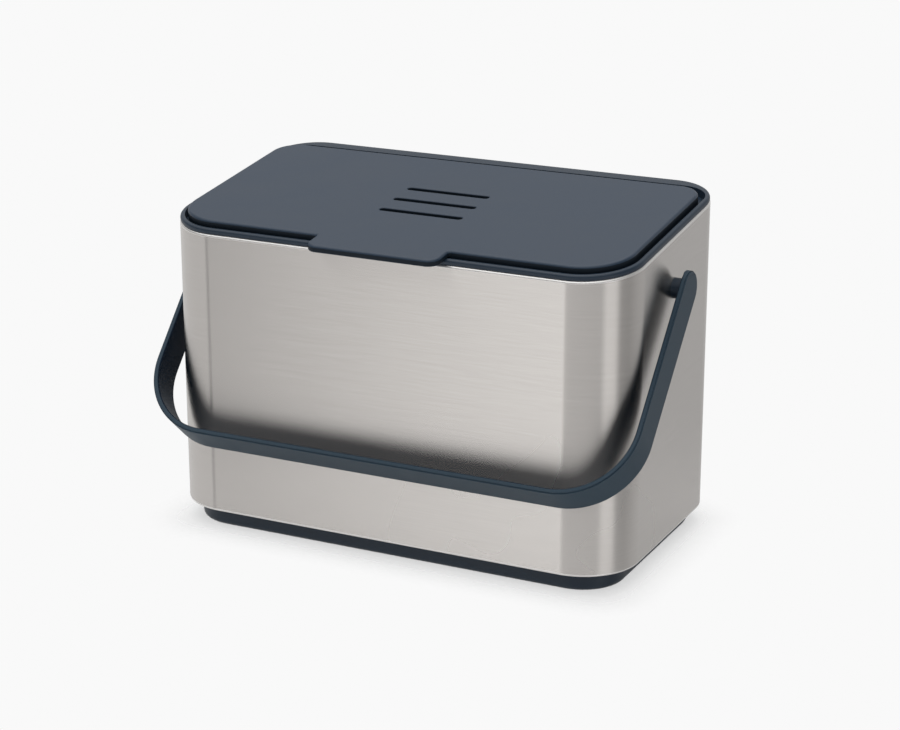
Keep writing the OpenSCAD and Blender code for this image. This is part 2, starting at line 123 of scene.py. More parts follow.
def alone(piece):
    """Leaves one object selected and active."""
    bpy.ops.object.select_all(action="DESELECT")
    piece.select_set(True)
    bpy.context.view_layer.objects.active = piece


def edit(piece):
    """Opens a piece for editing, with nothing selected."""
    alone(piece)
    bpy.ops.object.mode_set(mode="EDIT")
    bpy.ops.mesh.select_all(action="DESELECT")


def close_edit():
    bpy.ops.object.mode_set(mode="OBJECT")


def pick(kind, test):
    """Selects the edges or faces that pass a test, in the open piece."""
    bpy.ops.mesh.select_all(action="DESELECT")
    bpy.ops.mesh.select_mode(type=kind)
    mesh = bmesh.from_edit_mesh(bpy.context.object.data)
    mesh.normal_update()
    found = [part for part in (mesh.edges if kind == "EDGE" else mesh.faces) if test(part)]
    for part in found:
        part.select_set(True)
    mesh.select_flush_mode()
    bmesh.update_edit_mesh(bpy.context.object.data)


def extrude(offset):
    """Extrudes the picked faces of the open piece and moves them by an offset."""
    bpy.ops.mesh.extrude_region_move(TRANSFORM_OT_translate={"value": offset})


# %% Tests for edges and faces
def same(one, other):
    """Whether two lengths are the same, apart from rounding."""
    return abs(one - other) < tiny


def middle(part):
    """The middle of an edge or a face."""
    return sum((corner.co for corner in part.verts), Vector()) / len(part.verts)


def upright(edge):
    """Whether an edge runs straight up."""
    along = edge.verts[1].co - edge.verts[0].co
    return abs(along.z) > flat_enough * along.length


def facing(direction):
    """A test for faces that look in a direction."""
    return lambda face: face.normal.dot(Vector(direction)) > flat_enough


faces_up = facing((0, 0, 1))
faces_down = facing((0, 0, -1))


def is_wall(face):
    """Whether a face stands nearly upright."""
    return abs(face.normal.z) < wall_tilt


def between(first, second):
    """A test for edges where a face of the first kind meets one of the second."""
    def test(edge):
        if len(edge.link_faces) != 2:
            return False
        one, other = edge.link_faces
        return (first(one) and second(other)) or (first(other) and second(one))
    return test


# %% Modifiers and places
smooth_below = radians(28)
most_tries = 20


def modify(piece, kind, **settings):
    """Adds a modifier and applies it."""
    alone(piece)
    added = piece.modifiers.new(kind.lower(), kind)
    for name, value in settings.items():
        setattr(added, name, value)
    bpy.ops.object.modifier_apply(modifier=added.name)


def volume(mesh):
    """What a closed mesh holds, which is below 0 when the mesh is inside out."""
    solid = bmesh.new()
    solid.from_mesh(mesh)
    held = solid.calc_volume(signed=True)
    solid.free()
    return held


def combine(piece, tool, operation):
    """Cuts a tool out of a piece, or joins it on, and uses the tool up. Now and then the solver
    turns a piece inside out, so its result is measured, and made again if it is wrong."""
    before = piece.data.copy()
    held = volume(before)
    for attempt in range(most_tries):
        modify(piece, "BOOLEAN", object=tool, operation=operation, solver="EXACT")
        now = volume(piece.data)
        right = {"UNION": now > held * (1 - tiny), "DIFFERENCE": 0 < now < held * (1 + tiny)}
        if right[operation]:
            break
        print("made again:", piece.name, operation, tool.name)
        wrong, piece.data = piece.data, before.copy()
        bpy.data.meshes.remove(wrong)
    else:
        raise RuntimeError("the solver fails on " + piece.name)
    bpy.data.meshes.remove(before)
    bpy.data.objects.remove(tool)


def place(piece, matrix):
    """Moves a piece that was modelled elsewhere to its place, and leaves its object at the origin."""
    alone(piece)
    piece.matrix_world = matrix
    bpy.ops.object.transform_apply(location=True, rotation=True, scale=True)


def smooth(piece):
    """Smooth shading on the rounds, with the flats kept flat."""
    alone(piece)
    bpy.ops.object.shade_smooth_by_angle(angle=smooth_below)
    modify(piece, "WEIGHTED_NORMAL", keep_sharp=True, weight=100)


def mend(piece):
    """Merges points that fell on each other."""
    edit(piece)
    bpy.ops.mesh.select_all(action="SELECT")
    bpy.ops.mesh.remove_doubles(threshold=tiny)
    close_edit()


# %% Blocks, bands and rods
corner_steps = 24
overlap, spare = 1 * mm, 10 * mm


def block(name, low, high, front=0, rear=0, steps=corner_steps):
    """A block whose upright edges are rounded, more in front than at the back."""
    low, high = Vector(low), Vector(high)
    bpy.ops.mesh.primitive_cube_add(size=1, location=(low + high) / 2, scale=high - low)
    piece = bpy.context.object
    piece.name = name
    bpy.ops.object.transform_apply(location=True, rotation=True, scale=True)
    edit(piece)
    for radius, side in ((front, low.y), (rear, high.y)):
        if radius:
            pick("EDGE", lambda edge: upright(edge) and same(middle(edge).y, side))
            bpy.ops.mesh.bevel(offset=radius, segments=steps, affect="EDGES")
    close_edit()
    return piece


def outline_block(name, inset, bottom, top, rear_inset=None, front=None, rear=None):
    """A block that follows the sloping top's outline, moved in by an inset."""
    rear_inset = inset if rear_inset is None else rear_inset
    front = front_round - inset if front is None else front
    rear = rear_round - inset if rear is None else rear
    low = (inset - half_w, inset, bottom)
    high = (half_w - inset, slope_depth - rear_inset, top)
    return block(name, low, high, front, rear)


def hollow(piece, wall):
    """Turns a block into a band with a wall: both caps are inset, opened and joined."""
    edit(piece)
    pick("FACE", lambda face: abs(face.normal.z) > flat_enough)
    bpy.ops.mesh.inset(thickness=wall, use_individual=True)
    bpy.ops.mesh.delete(type="ONLY_FACE")
    pick("EDGE", lambda edge: edge.is_boundary)
    bpy.ops.mesh.bridge_edge_loops()
    close_edit()
    return piece


def rod(name, radius, start, end, steps=48):
    """A round bar along X between two points."""
    start, end = Vector(start), Vector(end)
    bpy.ops.mesh.primitive_cylinder_add(vertices=steps, radius=radius, depth=(end - start).length,
                                        location=(start + end) / 2, rotation=(0, pi / 2, 0))
    bar = bpy.context.object
    bar.name = name
    bpy.ops.object.transform_apply(location=True, rotation=True, scale=True)
    return bar


def stadium(name, centre, length, width, height, steps=12):
    """A slot-shaped tool: a block with both ends all but fully round."""
    half = Vector((length, width, height)) / 2
    piece = block(name, Vector(centre) - half, Vector(centre) + half)
    edit(piece)
    pick("EDGE", upright)
    bpy.ops.mesh.bevel(offset=width / 2 * 0.9999, segments=steps, affect="EDGES")
    close_edit()
    return piece


# %% [markdown]
# ## The steel shell
# One sheet of brushed steel is bent round, and its top and bottom edges are rolled inwards, so that the
# edge is a small round that catches the light. It starts as a block with round corners. The slope is
# bisected off, the caps become narrow flanges, the edge is bevelled, and Solidify gives the sheet its
# thickness, which keeps the wall even through the roll. A rod bores both sides for the handle's bushes.

# %% The steel shell
flange, roll_r = 1.6 * mm, 1.4 * mm


def make_shell():
    above = shell_high + Vector((0, 0, spare))
    shell = block("brushed_shell", shell_low, above, front_round, rear_round)
    edit(shell)
    bpy.ops.mesh.select_all(action="SELECT")
    slope_start = (0, -half_d, top_front)
    bpy.ops.mesh.bisect(plane_co=slope_start, plane_no=slope_up, use_fill=True, clear_outer=True)

    def is_cap(face):
        return abs(face.normal.z) > nearly_flat

    pick("FACE", is_cap)
    bpy.ops.mesh.inset(thickness=flange, use_individual=True)
    bpy.ops.mesh.delete(type="FACE")
    pick("EDGE", between(is_cap, lambda face: not is_cap(face)))
    bpy.ops.mesh.bevel(offset=roll_r, segments=6, affect="EDGES")
    close_edit()
    modify(shell, "SOLIDIFY", thickness=sheet, offset=-1, use_even_offset=True)
    reach = Vector((half_w + spare, 0, 0))
    combine(shell, rod("shell_bore", bush_bore_r, pivot - reach, pivot + reach), "DIFFERENCE")
    smooth(shell)
    return shell


shell = make_shell()
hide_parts("steel_shell")
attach(shell, "caddy_body")
print("shell faces:", len(shell.data.polygons))

# %% [markdown]
# ## The collar
# The collar is one moulding: a ledge that lies on the steel edge, a well that the lid drops into, a
# skirt inside the shell, two pairs of hinge ears and two lugs for the handle. The ledge grows by inset
# and extrude, and the well and the bucket's hole are cut by tools of the same outline, so every gap
# follows the corners. The ledge's outer edge gets a soft round and the well's edge a crisp one, and a
# round under the ledge draws a thin shadow between plastic and steel.

# %% The collar's sizes
ledge_top, ledge_w, ledge_in = 3 * mm, 3 * mm, 0.3 * mm
seat_w, skirt = 1.53 * mm, 4.5 * mm
ledge_soft, under_soft, crisp = 1.5 * mm, 0.7 * mm, 0.4 * mm
rear_ledge, well_rear = 8.5 * mm, 17 * mm
well_floor = -1.5 * mm
collar_wall = 2 * mm
hole_inset, hole_rear, hole_round = 12 * mm, 24.1 * mm, 12 * mm
tool_top, tool_foot = 20 * mm, -30 * mm

# %% The hinge's sizes
knuckle_x, knuckle_l, knuckle_r = 81.5 * mm, 32 * mm, 2.8 * mm
hinge_back, hinge_play, hinge_swing = 5.2 * mm, 0.8 * mm, 2.3 * mm
pocket_l = knuckle_l + hinge_play
pocket_front = hinge_point.y - hinge_back - hinge_swing
pocket_back = slope_depth - rear_ledge
pocket_floor = hinge_point.z - knuckle_r - hinge_play
pocket_top, pocket_box_top = 1 * mm, -2.2 * mm
ear_t, pin_r = 5 * mm, 1.5 * mm
ear_bore_r, knuckle_bore_r = pin_r * 1.03, pin_r * 1.067


# %% The ledge and its skirt
def make_collar():
    collar = outline_block("ledge_collar", ledge_in, 0, ledge_top)
    lowest = well_floor - collar_wall
    edit(collar)
    pick("FACE", faces_down)
    bpy.ops.mesh.inset(thickness=seat_w)
    extrude((0, 0, lowest))
    bpy.ops.mesh.inset(thickness=collar_wall)
    pick("FACE", lambda face: faces_down(face) and same(middle(face).z, lowest)
         and len(face.verts) == 4)
    extrude((0, 0, -skirt))
    close_edit()
    return collar


# %% The well, the bucket's hole and the hinge pockets
def pocket_block(name, side, spread, top):
    """A block in the place of a hinge pocket, wider than the pocket by a spread."""
    x = side * knuckle_x
    low = (x - pocket_l / 2 - spread, pocket_front - spread, pocket_floor - spread)
    high = (x + pocket_l / 2 + spread, pocket_back + spread, top)
    return block(name, low, high)


def cut_collar(collar):
    """Gives the hinge pockets their boxes, then cuts the well, the hole and the pockets."""
    for side in (-1, 1):
        combine(collar, pocket_block("pocket_box", side, collar_wall, pocket_box_top), "UNION")
    well = outline_block("well", ledge_w, well_floor, tool_top, rear_ledge, rear=well_rear)
    combine(collar, well, "DIFFERENCE")
    hole = outline_block("hole", hole_inset, tool_foot, tool_top, hole_rear, rear=hole_round)
    combine(collar, hole, "DIFFERENCE")
    for side in (-1, 1):
        combine(collar, pocket_block("pocket", side, 0, pocket_top), "DIFFERENCE")


# %% The collar's soft edges
def is_ledge(face):
    return faces_up(face) and middle(face).z > ledge_top - slack


def looks_out(face, point):
    """Whether a face at a point looks away from the middle of the collar."""
    return face.normal.dot(point - Vector((0, slope_depth / 2, 0))) > 0


def soften_collar(collar):
    """Rounds the ledge's outer edge, the edge of the well and the outer edge under the ledge."""
    ledge_edge = between(is_ledge, lambda face: not faces_up(face))
    under_edge = between(faces_down, lambda face: is_wall(face) and looks_out(face, middle(face)))

    def on_outside(edge):
        return ledge_edge(edge) and any(looks_out(face, middle(edge))
                                        for face in edge.link_faces if not faces_up(face))

    edit(collar)
    pick("EDGE", on_outside)
    bpy.ops.mesh.bevel(offset=ledge_soft, segments=6, affect="EDGES")
    pick("EDGE", lambda edge: ledge_edge(edge) and not on_outside(edge)
         and middle(edge).z > ledge_top - slack)
    bpy.ops.mesh.bevel(offset=crisp, segments=2, affect="EDGES")
    pick("EDGE", lambda edge: same(abs(edge.verts[0].co.z) + abs(edge.verts[1].co.z), 0)
         and under_edge(edge))
    bpy.ops.mesh.bevel(offset=under_soft, segments=4, affect="EDGES")
    close_edit()


# %% The hinge ears
def add_ears(collar):
    """Each hinge pocket has an ear at either end, bored for the pin."""
    for side in (-1, 1):
        for end in (-1, 1):
            x = side * knuckle_x + end * (pocket_l / 2 + ear_t / 2)
            start = Vector((x - ear_t / 2, hinge_point.y, hinge_point.z))
            along = Vector((ear_t, 0, 0))
            ear = rod("ear", knuckle_r, start, start + along, steps=32)
            low = start + Vector((0, -knuckle_r, well_floor - overlap - hinge_point.z))
            high = start + Vector((ear_t, knuckle_r, 0))
            combine(ear, block("ear_foot", low, high), "UNION")
            bore = rod("ear_bore", ear_bore_r, start - along, start + 2 * along, steps=24)
            combine(ear, bore, "DIFFERENCE")
            combine(collar, ear, "UNION")


# %% The collar
collar = make_collar()
cut_collar(collar)
soften_collar(collar)
add_ears(collar)
place(collar, on_slope)
print("collar faces before the lugs:", len(collar.data.polygons))

# %% The handle's lugs
lug_in, lug_out, lug_r, lug_l = 130.55 * mm, 133.3 * mm, 15 * mm, 23.5 * mm
lug_gap = 0.05 * mm


def add_lugs(collar):
    """The lugs hang inside the shell's sides and carry the handle's bushes."""
    for side in (-1, 1):
        start = Vector((side * lug_in, 0, pivot.z))
        end = Vector((side * (half_w - sheet - lug_gap), 0, pivot.z))
        lug = rod("lug", lug_r, start, end)
        low = Vector((min(side * lug_in, side * lug_out), -lug_r, pivot.z))
        high = Vector((max(side * lug_in, side * lug_out), lug_r, pivot.z + lug_l))
        combine(lug, block("lug_arm", low, high), "UNION")
        reach = Vector((5 * mm, 0, 0))
        bore = rod("lug_bore", bush_bore_r, start - reach, start + 2 * side * reach + reach)
        combine(lug, bore, "DIFFERENCE")
        combine(collar, lug, "UNION")


add_lugs(collar)
smooth(collar)
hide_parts("rim_collar")
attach(collar, "caddy_body")
print("collar faces:", len(collar.data.polygons))

# %% [markdown]
# ## The lid
# The lid is a shallow tray turned over, with a flat finger tab that runs out over the ledge. The tab is
# extruded from the lid's own front face, so that both share one top and one soft edge. The vents are
# cut by slot-shaped tools and get a soft upper edge. The filter's housing, the ribs for the seal and
# the hinge knuckles are joined on underneath, where they show when the lid is open.

# %% The lid's sizes
lid_inset = 4.8 * mm
lid_rear, lid_rear_round = 16.9 * mm, 14 * mm
lid_top, lid_bottom = 6.2 * mm, -1.2 * mm
lid_plate, lid_edge, lid_soft = 2.4 * mm, 2 * mm, 1.6 * mm
tab_half, tab_out = 38.25 * mm, 10.7 * mm
tab_corner, tab_root = 6.5 * mm, 1.6 * mm
tab_under, lip_under, lip_back = 3.3 * mm, 2.4 * mm, -0.6 * mm


# %% The lid's body and finger tab
def add_tab():
    """Extrudes the finger tab from the open lid's front face, and steps its lip down."""
    tab_sides = (((-tab_half, 0, 0), (1, 0, 0)), ((tab_half, 0, 0), (1, 0, 0)))
    for point, direction in (*tab_sides, ((0, 0, tab_under), (0, 0, 1))):
        bpy.ops.mesh.select_all(action="SELECT")
        bpy.ops.mesh.bisect(plane_co=point, plane_no=direction)
    faces_front = facing((0, -1, 0))
    pick("FACE", lambda face: faces_front(face) and abs(middle(face).x) < tab_half
         and middle(face).z > tab_under)
    extrude((0, lip_back - lid_inset, 0))
    extrude((0, -tab_out - lip_back, 0))
    pick("FACE", lambda face: faces_down(face) and middle(face).y < lip_back)
    extrude((0, 0, lip_under - tab_under))
    pick("EDGE", lambda edge: upright(edge) and middle(edge).y < -tab_out + slack)
    bpy.ops.mesh.bevel(offset=tab_corner, segments=10, affect="EDGES")
    pick("EDGE", lambda edge: upright(edge) and same(abs(middle(edge).x), tab_half)
         and same(middle(edge).y, lid_inset) and middle(edge).z > tab_under)
    bpy.ops.mesh.bevel(offset=tab_root, segments=5, affect="EDGES")


def is_lid_top(face):
    return faces_up(face) and middle(face).z > lid_top - slack


def make_lid():
    lid = outline_block("vented_lid", lid_inset, lid_bottom, lid_top, lid_rear, rear=lid_rear_round)
    edit(lid)
    add_tab()
    pick("FACE", lambda face: faces_down(face) and middle(face).z < lid_bottom + slack)
    bpy.ops.mesh.inset(thickness=lid_edge)
    extrude((0, 0, lid_top - lid_plate - lid_bottom))
    pick("EDGE", between(is_lid_top, lambda face: not faces_up(face)))
    bpy.ops.mesh.bevel(offset=lid_soft, segments=6, affect="EDGES")
    pick("EDGE", between(lambda face: faces_down(face) and middle(face).z < tab_under - slack, is_wall))
    bpy.ops.mesh.bevel(offset=crisp, segments=2, affect="EDGES")
    close_edit()
    mend(lid)
    return lid


lid = make_lid()
print("lid faces:", len(lid.data.polygons))

# %% The vents
vent_mid, vent_pitch, vent_l, vent_w, vent_count = 66 * mm, 16.7 * mm, 49 * mm, 4 * mm, 3
vent_tool, vent_soft = 12 * mm, 0.8 * mm


def cut_vents(lid):
    """Cuts the slots, then softens their upper edges."""
    for row in range(vent_count):
        y = vent_mid + (row - (vent_count - 1) / 2) * vent_pitch
        combine(lid, stadium("vent", (0, y, lid_top), vent_l, vent_w, vent_tool), "DIFFERENCE")
    rim = between(is_lid_top, is_wall)
    edit(lid)
    pick("EDGE", lambda edge: rim(edge) and abs(middle(edge).x) < vent_l / 2 + overlap)
    bpy.ops.mesh.bevel(offset=vent_soft, segments=4, affect="EDGES")
    close_edit()


cut_vents(lid)
print("lid faces with vents:", len(lid.data.polygons))

# %% The filter's housing and the ribs for the seal
filter_w, filter_d, snug = 104 * mm, 56 * mm, 0.3 * mm
housing_wall, housing_l, housing_round = 1.8 * mm, 7.2 * mm, 2 * mm
rib_insets, rib_foot, rib_wall = (3.4 * mm, 5.8 * mm), 1.3 * mm, 0.8 * mm
under = lid_top - lid_plate


def add_housing(lid):
    """Joins the filter's housing and the two ribs on under the lid's plate."""
    wall, front, back = housing_wall, vent_mid - filter_d / 2, vent_mid + filter_d / 2
    low = Vector((-filter_w / 2 - snug - wall, front - snug - wall, under - housing_l))
    high = Vector((filter_w / 2 + snug + wall, back + snug + wall, under + overlap))
    housing = block("housing", low, high, housing_round, housing_round, steps=4)
    combine(lid, hollow(housing, wall), "UNION")
    for inset in rib_insets:
        ring = outline_block("seal_rib", lid_inset + inset, rib_foot, under + overlap / 2,
                             lid_rear + inset, rear=lid_rear_round - inset)
        combine(lid, hollow(ring, rib_wall), "UNION")


# %% The hinge knuckles
def add_knuckles(lid):
    """Each knuckle is a bored rod on a short arm from the lid's rear edge."""
    for side in (-1, 1):
        start = Vector((side * knuckle_x - knuckle_l / 2, hinge_point.y, hinge_point.z))
        along = Vector((knuckle_l, 0, 0))
        knuckle = rod("knuckle", knuckle_r, start, start + along, steps=32)
        low = (start.x, hinge_point.y - hinge_back - overlap, lid_bottom)
        high = (start.x + knuckle_l, hinge_point.y, hinge_point.z + knuckle_r / 2)
        combine(knuckle, block("arm", low, high), "UNION")
        bore = rod("bore", knuckle_bore_r, start - along, start + 2 * along, steps=24)
        combine(knuckle, bore, "DIFFERENCE")
        combine(lid, knuckle, "UNION")


add_housing(lid)
add_knuckles(lid)
place(lid, on_slope)
smooth(lid)
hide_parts("lid")
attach(lid, "lid")
print("lid faces in all:", len(lid.data.polygons))

# %% [markdown]
# ## The handle
# The handle is a flat strap bent to a U, with a raised grip face all along its outside. A block with
# two big round corners gives the bend. Its open sides are deleted, which leaves a ribbon, and Solidify
# turns the ribbon into the strap. The grip face is an inset of the outer skin that is pushed out, and
# the ends of the arms are bevelled until they are half circles round the pivots. It is modelled hanging
# straight down from the pivots, and then swung forward until its bar rests in front of the shell.

# %% The handle's sizes
strap_w, strap_t, grip_t, grip_margin = 20 * mm, 2.4 * mm, 0.7 * mm, 0.6 * mm
strap_soft, grip_soft, grip_bevel_from = 0.9 * mm, 0.35 * mm, radians(40)
handle_x, handle_l, handle_r = 144.1 * mm, 127 * mm, 41 * mm
inner_x, inner_l, inner_r = handle_x - grip_t, handle_l - grip_t, handle_r - grip_t
pin_bore_r = 3.05 * mm

bar_rest = half_d + 1.2 * mm
bar_reach = Vector((strap_w / 2, handle_l - strap_t - grip_t)).length
rest_angle = atan2(strap_w / 2, handle_l - strap_t - grip_t)
rest_angle += atan2(bar_rest, (bar_reach ** 2 - bar_rest ** 2) ** 0.5)
hanging = Matrix.Translation(pivot) @ Matrix.Rotation(-rest_angle, 4, "X")
print("rest angle", round(rest_angle / pi * 180, 2))


# %% The strap
def make_strap():
    low = (-inner_x, -strap_w / 2, -inner_l)
    handle = block("strap_handle", low, (inner_x, strap_w / 2, strap_w / 2))
    edit(handle)
    pick("EDGE", lambda edge: middle(edge).z < slack - inner_l and same(middle(edge).y, 0))
    bpy.ops.mesh.bevel(offset=inner_r, segments=32, affect="EDGES")
    pick("FACE", lambda face: abs(face.normal.y) > flat_enough or face.normal.z > flat_enough)
    bpy.ops.mesh.delete(type="FACE")
    close_edit()
    modify(handle, "SOLIDIFY", thickness=strap_t, offset=-1, use_even_offset=True)
    return handle


def round_strap():
    """Rounds the ends of the open strap's arms, and softens the edges of its inner face."""
    def is_inner(face):
        return abs(face.normal.y) < wall_tilt and face.normal.dot(middle(face)) < 0

    pick("EDGE", lambda edge: middle(edge).z > strap_w / 2 - tiny
         and same(abs(middle(edge).y), strap_w / 2))
    bpy.ops.mesh.bevel(offset=strap_w / 2 * 0.999, segments=16, affect="EDGES")
    pick("EDGE", between(is_inner, lambda face: abs(face.normal.y) > nearly_flat))
    bpy.ops.mesh.bevel(offset=strap_soft, segments=4, affect="EDGES")


# %% The grip face
def is_outside(face):
    """Whether a face of the strap lies on the outside of an arm, the bar or a bend."""
    point = middle(face)
    arm = abs(point.x) > inner_x - slack
    bar = point.z < slack - inner_l
    centre = Vector((max(min(point.x, inner_x - inner_r), inner_r - inner_x), 0, inner_r - inner_l))
    from_centre = Vector((point.x, 0, point.z)) - centre
    bend = point.z < centre.z and from_centre.length > inner_r - 0.3 * mm
    return abs(face.normal.y) < wall_tilt and (arm or bar or bend) and face.normal.dot(point) > 0


def raise_grip():
    """Insets the outer skin of the open strap and pushes it out."""
    pick("FACE", is_outside)
    bpy.ops.mesh.inset(thickness=grip_margin, use_even_offset=True)
    bpy.ops.mesh.inset(thickness=0, depth=grip_t, use_even_offset=True)


# %% The handle
def finish_handle(handle):
    """Softens what edges are left, bores the arms for the pins and swings the handle to its rest."""
    mend(handle)
    modify(handle, "BEVEL", width=grip_soft, segments=3, limit_method="ANGLE",
           angle_limit=grip_bevel_from, harden_normals=False)
    for side in (-1, 1):
        start = Vector((side * (handle_x - grip_t - strap_t - overlap), 0, 0))
        end = Vector((side * (handle_x - grip_t - strap_t / 4 + 0.05 * mm), 0, 0))
        combine(handle, rod("pin_bore", pin_bore_r, start, end, steps=32), "DIFFERENCE")
    place(handle, hanging)
    smooth(handle)


handle = make_strap()
edit(handle)
round_strap()
raise_grip()
close_edit()
finish_handle(handle)
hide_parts("handle")
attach(handle, "handle")
print("handle faces:", len(handle.data.polygons))

# %% [markdown]
# ## The bucket
# The bucket lifts out of the collar. It is a deep tub with a little draft, a soft edge round its floor
# and a flat lip that lies in the collar's well. The draft comes from scaling the bottom cap, and the
# slope is bisected off the top before Solidify makes the wall.

# %% The bucket's sizes
tub_side, tub_front, tub_back = half_w - 12.3 * mm, -61.17 * mm, 49.58 * mm
tub_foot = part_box("inner_bucket")[0].z
tub_top = top_front + 2 * half_d * tan(slope)
tub_corner, tub_taper, tub_wall, tub_soft = 20 * mm, 6 * mm, 1.8 * mm, 2.4 * mm
lip_inset, lip_rear, lip_round, lip_t = 7.6 * mm, 19.7 * mm, 12 * mm, 1.8 * mm
mouth_inset, mouth_rear, mouth_round = 14.1 * mm, 26.2 * mm, 18.2 * mm


# %% The tub
def make_tub():
    floor = tub_foot + tub_taper
    low, high = (-tub_side, tub_front, floor), (tub_side, tub_back, tub_top)
    tub = block("scrap_bucket", low, high, tub_corner, tub_corner)
    edit(tub)
    pick("FACE", faces_down)
    scale = (1 - tub_taper / tub_side, 1 - 2 * tub_taper / (tub_back - tub_front), 1)
    bpy.ops.transform.resize(value=scale, center_override=(0, (tub_front + tub_back) / 2, floor))
    bpy.ops.mesh.inset(thickness=tub_taper, depth=tub_taper)
    floor_edge = between(lambda face: face.normal.z < -0.2, lambda face: True)
    pick("EDGE", lambda edge: middle(edge).z < floor + slack and not upright(edge)
         and floor_edge(edge) and same(edge.verts[0].co.z, edge.verts[1].co.z))
    bpy.ops.mesh.bevel(offset=tub_soft, segments=4, affect="EDGES")
    bpy.ops.mesh.select_all(action="SELECT")
    lip_plane = on_slope @ Vector((0, 0, well_floor + lip_t / 2))
    bpy.ops.mesh.bisect(plane_co=lip_plane, plane_no=slope_up, clear_outer=True)
    pick("FACE", lambda face: face.normal.z > nearly_flat)
    bpy.ops.mesh.delete(type="FACE")
    close_edit()
    modify(tub, "SOLIDIFY", thickness=tub_wall, offset=-1, use_even_offset=True)
    return tub


# %% The bucket's lip
def add_lip(tub):
    lip = outline_block("lip", lip_inset, well_floor, well_floor + lip_t, lip_rear, rear=lip_round)
    mouth = outline_block("mouth", mouth_inset, -spare, spare, mouth_rear,
                          front=mouth_round, rear=mouth_round)
    combine(lip, mouth, "DIFFERENCE")
    place(lip, on_slope)
    combine(tub, lip, "UNION")


bucket = make_tub()
add_lip(bucket)
smooth(bucket)
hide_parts("inner_bucket")
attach(bucket, "caddy_body")
print("bucket faces:", len(bucket.data.polygons))

# %% [markdown]
# ## Shader maths
# Materials are written as sums. `Field` wraps a socket, so that `1 - mask * 0.3` adds the Math nodes
# it needs. `Finish.node` adds any other node from its type, its settings and its inputs.

# %% Fields and finishes
class Field:
    """A value that varies over a surface."""

    def __init__(self, finish, socket):
        self.finish = finish
        self.socket = socket

    def maths(self, operation, first, second):
        return self.finish.node("ShaderNodeMath", {"operation": operation}, {0: first, 1: second})

    def __add__(self, other):
        return self.maths("ADD", self, other)

    def __radd__(self, other):
        return self.maths("ADD", other, self)

    def __sub__(self, other):
        return self.maths("SUBTRACT", self, other)

    def __rsub__(self, other):
        return self.maths("SUBTRACT", other, self)

    def __mul__(self, other):
        return self.maths("MULTIPLY", self, other)

    def __rmul__(self, other):
        return self.maths("MULTIPLY", other, self)

    def __truediv__(self, other):
        return self.maths("DIVIDE", self, other)

    def __rtruediv__(self, other):
        return self.maths("DIVIDE", other, self)


class Finish:
    """A material, or the world, whose nodes are added by name."""

    def __init__(self, owner):
        self.owner = owner
        owner.use_nodes = True
        self.tree = owner.node_tree

    def node(self, kind, settings=None, inputs=None, output=0):
        """Adds a node. Settings come first; an input is a number, a vector or a Field."""
        added = self.tree.nodes.new(kind)
        for name, value in (settings or {}).items():
            if name == "stops":
                self.set_stops(added.color_ramp, value)
            else:
                setattr(added, name, value)
        for name, value in (inputs or {}).items():
            self.connect(value, added.inputs[name])
        return Field(self, added.outputs[output])

    def set_stops(self, ramp, stops):
        """Gives a ramp its stops, as pairs of a position and a grey or a colour."""
        while len(ramp.elements) < len(stops):
            ramp.elements.new(1)
        for element, (position, value) in zip(ramp.elements, stops):
            element.position = position
            element.color = (value, value, value, 1) if isinstance(value, (int, float)) else (*value, 1)

    def connect(self, value, socket):
        if isinstance(value, Field):
            self.tree.links.new(value.socket, socket)
        else:
            socket.default_value = value

    def blend_colours(self, amount, first, second):
        """A colour between two others."""
        inputs = {0: amount, 6: first, 7: second}
        return self.node("ShaderNodeMix", {"data_type": "RGBA"}, inputs, output=2)

    def noise(self, scale, detail=3, roughness=0.5, stretch=(1, 1, 1)):
        """Noise on the piece's own coordinates, in repeats per metre, from 0 to 1."""
        place_on_piece = self.node("ShaderNodeTexCoord", output="Object")
        stretched = self.node("ShaderNodeMapping", inputs={"Vector": place_on_piece, "Scale": stretch})
        scales = {"Scale": scale, "Detail": detail, "Roughness": roughness}
        return self.node("ShaderNodeTexNoise", inputs={"Vector": stretched, **scales})

    def bump(self, height, distance, strength=1):
        """Small relief of a height in metres."""
        settings = {"Height": height, "Distance": distance, "Strength": strength}
        return self.node("ShaderNodeBump", inputs=settings)

    def surface(self, **values):
        """Sets the sockets of the main shader, which are named with _ for a space."""
        shader = self.tree.nodes["Principled BSDF"]
        for name, value in values.items():
            self.connect(value, shader.inputs[name.replace("_", " ")])


def finish_named(name):
    return Finish(bpy.data.materials.new(name))


def paint(piece, finish):
    """Gives a whole piece one finish."""
    piece.data.materials.clear()
    piece.data.materials.append(finish.owner)


# %% [markdown]
# ## Brushed steel
# The sheet is brushed along its length, so the scratches run level all round the shell. They blur a
# reflection up and down but hardly sideways, which is what anisotropy does. Without a tangent of its
# own the shader takes one that runs round the upright axis, and a quarter turn puts the wide blur
# across the scratches. Long fine noise draws the streaks themselves in the colour. Gloss and relief
# vary only in broad clouds, because the blur already stands for the single scratches. The rolled edges
# get a paler colour, a painted highlight that draws their thin bright line.

# %% Brushed steel
def brushed_steel():
    steel = finish_named("brushed_steel")
    fine = steel.noise(1, detail=2, stretch=(60, 60, 2600))
    long = steel.noise(1, detail=2, stretch=(12, 12, 1100))
    cloud = steel.noise(9, detail=2)
    streak = (fine - 0.5) * 0.5 + (long - 0.5) * 0.3
    tone = steel.node("ShaderNodeClamp", inputs={"Value": 0.5 + streak * 0.7 + (cloud - 0.5) * 0.08})
    dull, pale = (0.55, 0.523, 0.498, 1), (0.72, 0.691, 0.665, 1)
    steel.surface(Base_Color=steel.blend_colours(tone, dull, pale), Metallic=1,
                  Roughness=0.27 + (cloud - 0.5) * 0.03, Anisotropic=1, Anisotropic_Rotation=0.25,
                  Normal=steel.bump(cloud, 0.4 * mm, 0.2))
    return steel


